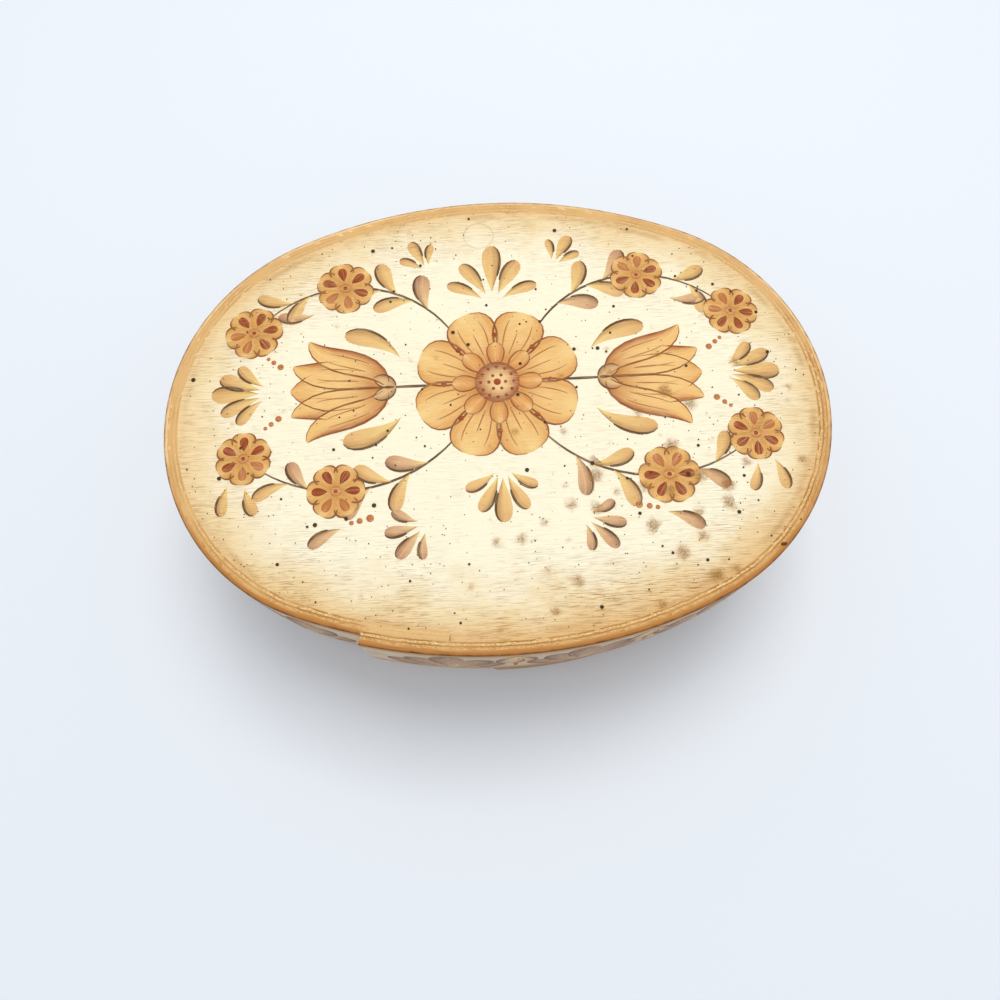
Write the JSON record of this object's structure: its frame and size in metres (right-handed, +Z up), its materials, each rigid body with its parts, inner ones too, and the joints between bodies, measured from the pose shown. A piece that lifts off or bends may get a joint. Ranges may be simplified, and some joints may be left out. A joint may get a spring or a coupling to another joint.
{
  "type": "oval bentwood box",
  "caption": "Oval wooden box with sides of thin bent wood, a flat bottom board and a slip-on lid whose lapped band fits over the body; painted and antiqued.",
  "frame": {"origin": "centre of the oval on the underside of the box", "axes": "+X along the oval's length, -Y towards the front where the bands are lapped, +Z up"},
  "size_m": [0.3, 0.2225, 0.1],
  "materials": {
    "painted_board": "cream paint over wood, antiqued darker towards the edge, satin varnish",
    "painted_lid_band": "bent wood with an antiqued gold-brown edge and cream painted side, satin varnish",
    "painted_body_band": "bent wood, cream paint outside, bare wood inside",
    "bottom_wood": "bare planed wood",
    "steel_brads": "small steel wire brads, dulled"
  },
  "bodies": {
    "body": {"body_band": "painted_body_band", "bottom_board": "bottom_wood", "bottom_board_brads": "steel_brads", "body_lap_brads": "steel_brads"},
    "lid": {"lid_board": "painted_board", "lid_band": "painted_lid_band", "lid_board_brads": "steel_brads", "lid_lap_brads": "steel_brads"}
  },
  "joints": [
    {"name": "lid_lift", "type": "slide", "parent": "body", "child": "lid", "axis": [0, 0, 1], "range_m": [0, 0.12]}
  ]
}
